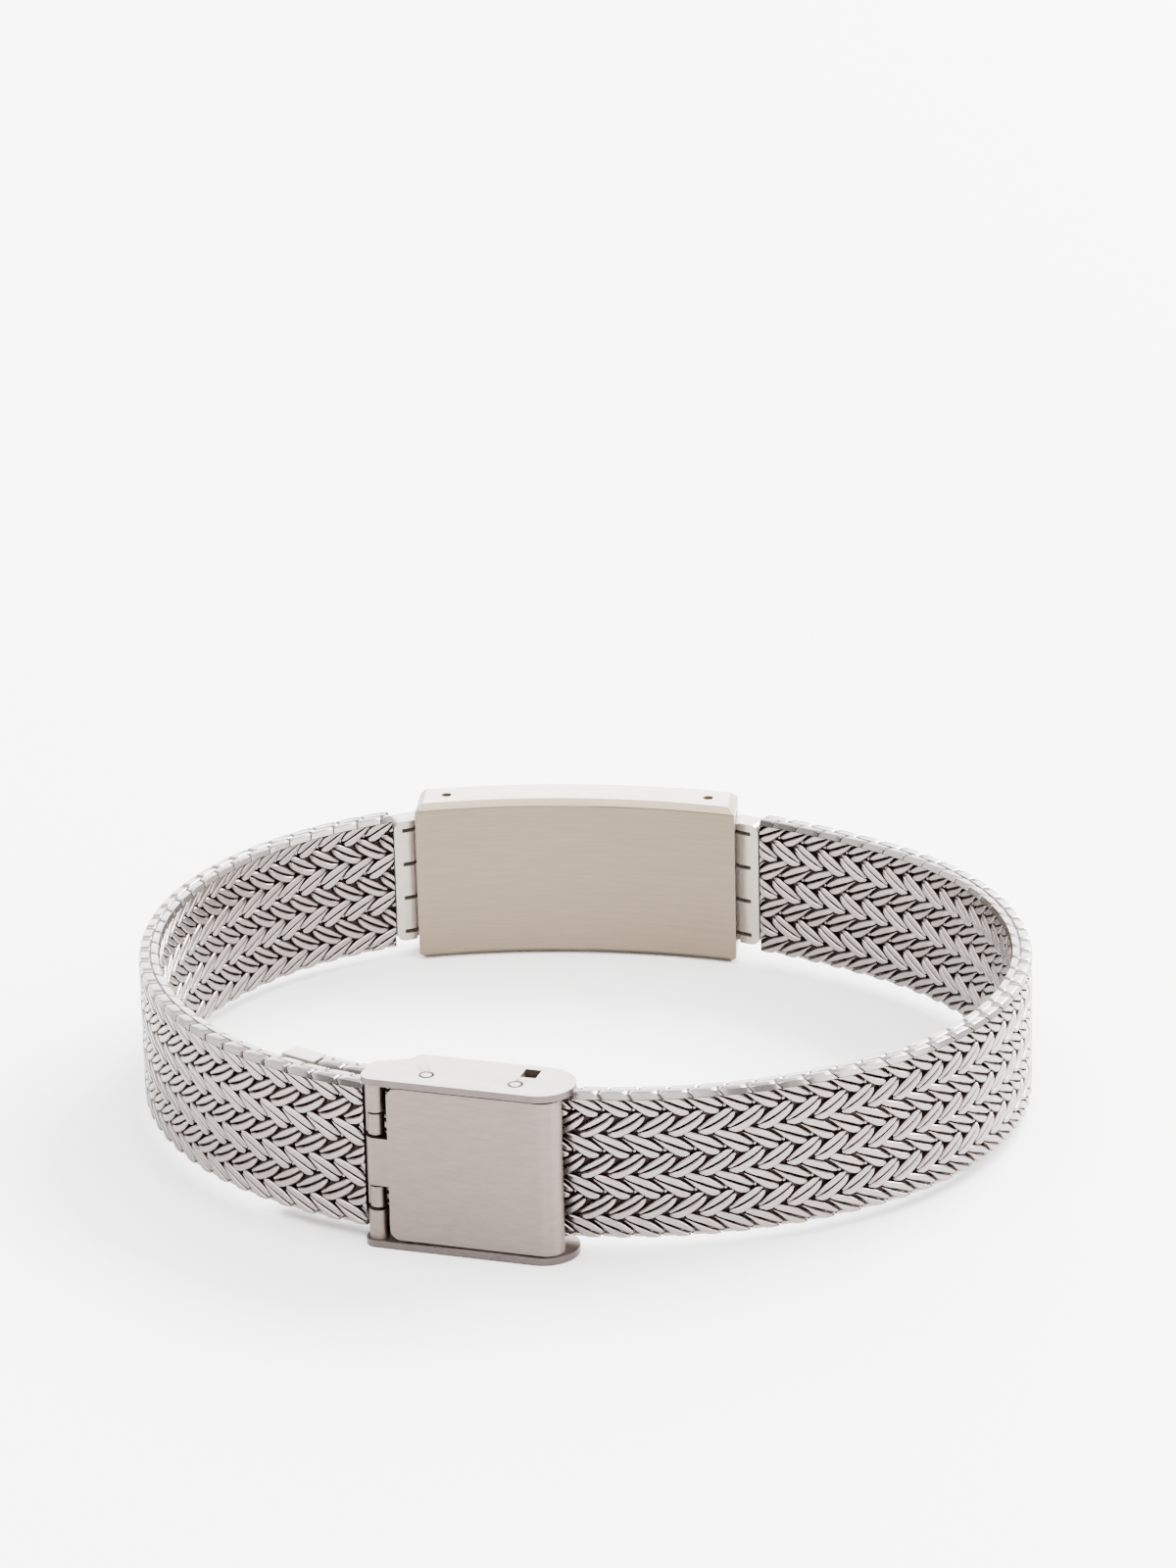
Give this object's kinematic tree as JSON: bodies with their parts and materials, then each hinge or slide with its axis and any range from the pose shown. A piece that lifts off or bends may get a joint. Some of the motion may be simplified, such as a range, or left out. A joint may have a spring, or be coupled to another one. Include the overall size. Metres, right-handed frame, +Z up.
{
  "type": "mesh bracelet",
  "caption": "Woven metal mesh bracelet with a curved plate at the back and a sliding clasp with a hinged cover, closed and lying on its edge.",
  "frame": {"origin": "middle of the bracelet's outline, on the floor", "axes": "+X along the clasp from its hinge to its round end, +Y from the clasp to the plate, +Z up along the wrist opening"},
  "size_m": [0.0706, 0.0638, 0.0138],
  "materials": {
    "plate_metal": "fine brushing along the plate",
    "fitting_metal": "smooth satin",
    "pin_metal": "plain turned",
    "mesh_metal": "woven links with flattened satin faces",
    "clasp_metal": "satin, hairlines along the cover"
  },
  "bodies": {
    "bracelet": {"id_plate": "plate_metal", "end_piece_left": "fitting_metal", "end_piece_right": "fitting_metal", "plate_pin_left": "pin_metal", "plate_pin_right": "pin_metal", "strap_left": "mesh_metal", "strap_right": "mesh_metal", "tail_cap": "fitting_metal", "clasp_frame": "clasp_metal", "hinge_pin": "pin_metal", "strap_hook": "clasp_metal"},
    "cover": {"clasp_cover": "clasp_metal"}
  },
  "joints": [
    {"name": "clasp_cover", "type": "hinge", "parent": "bracelet", "child": "cover", "pos_m": [-0.0066, -0.03083, 0.0069], "axis": [0, 0, -1], "range_deg": [0, 105]}
  ]
}
